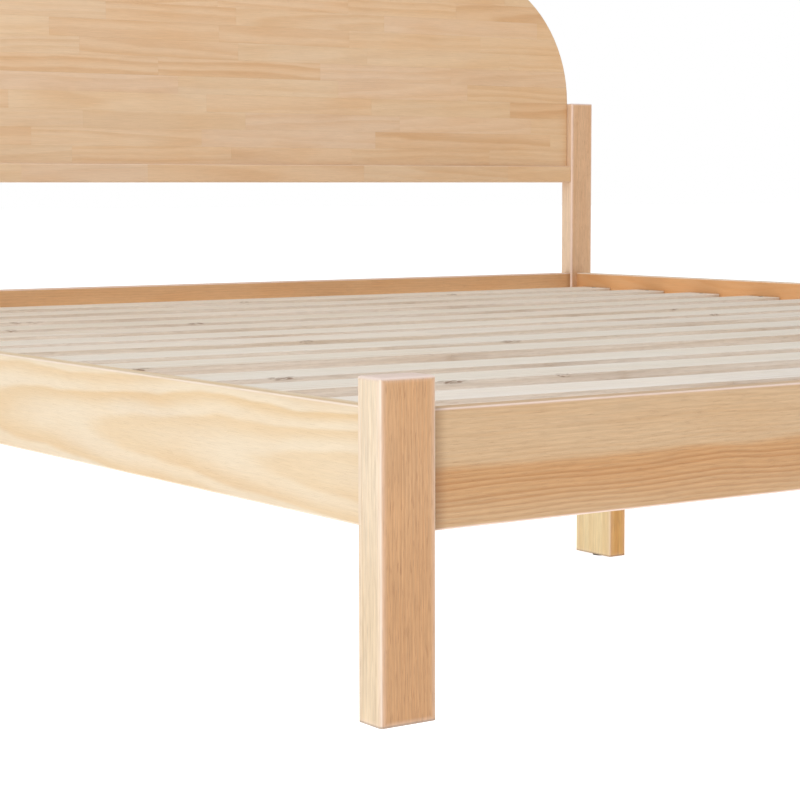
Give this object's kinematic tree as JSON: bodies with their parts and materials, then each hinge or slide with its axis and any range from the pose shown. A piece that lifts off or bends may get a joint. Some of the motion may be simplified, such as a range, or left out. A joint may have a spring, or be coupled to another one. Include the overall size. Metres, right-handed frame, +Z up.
{
  "type": "bed frame",
  "caption": "Low double bed frame in edge-glued pine with flat rails, corner legs, a headboard with large rounded corners, and a slatted base on ledgers and two beams.",
  "frame": {"origin": "on the floor under the middle of the bed, halfway between the sides and between the foot and the head", "axes": "+Z up, +Y towards the head of the bed, +X towards the right-hand side seen from the foot"},
  "size_m": [1.89, 2.072, 0.822],
  "materials": {
    "leg_pine": "satin clear lacquer",
    "rail_pine": "satin clear lacquer",
    "headboard_pine": "satin clear lacquer",
    "base_pine": "planed, unfinished",
    "beam_leg_pine": "satin clear lacquer",
    "slat_pine": "sawn, unfinished",
    "dowel_beech": "turned, unfinished",
    "glide_plastic": "matt black",
    "hanger_steel": "zinc plated",
    "fastener_steel": "zinc plated"
  },
  "bodies": {
    "root": {"foot_leg_left": "leg_pine", "foot_leg_right": "leg_pine", "head_post_left": "leg_pine", "head_post_right": "leg_pine", "foot_rail": "rail_pine", "head_rail": "rail_pine", "side_rail_left": "rail_pine", "side_rail_right": "rail_pine", "headboard_panel": "headboard_pine", "headboard_bottom_rail": "headboard_pine", "slat_ledger_left": "base_pine", "slat_ledger_right": "base_pine", "centre_beam_left": "base_pine", "centre_beam_right": "base_pine", "beam_leg_left_foot": "beam_leg_pine", "beam_leg_left_head": "beam_leg_pine", "beam_leg_right_foot": "beam_leg_pine", "beam_leg_right_head": "beam_leg_pine", "beam_leg_glides": "glide_plastic", "beam_hanger_left_foot": "hanger_steel", "beam_hanger_left_head": "hanger_steel", "beam_hanger_right_foot": "hanger_steel", "beam_hanger_right_head": "hanger_steel", "slat_01": "slat_pine", "slat_02": "slat_pine", "slat_03": "slat_pine", "slat_04": "slat_pine", "slat_05": "slat_pine", "slat_06": "slat_pine", "slat_07": "slat_pine", "slat_08": "slat_pine", "slat_09": "slat_pine", "slat_10": "slat_pine", "slat_11": "slat_pine", "slat_12": "slat_pine", "slat_13": "slat_pine", "side_rail_bolts": "fastener_steel", "side_rail_barrel_nuts": "fastener_steel", "side_rail_dowels": "dowel_beech", "end_rail_bolts": "fastener_steel", "end_rail_barrel_nuts": "fastener_steel", "end_rail_dowels": "dowel_beech", "headboard_post_dowels": "dowel_beech", "headboard_panel_dowels": "dowel_beech", "slat_screws": "fastener_steel", "ledger_screws": "fastener_steel", "beam_leg_screws": "fastener_steel", "hanger_screws": "fastener_steel"}
  },
  "joints": []
}
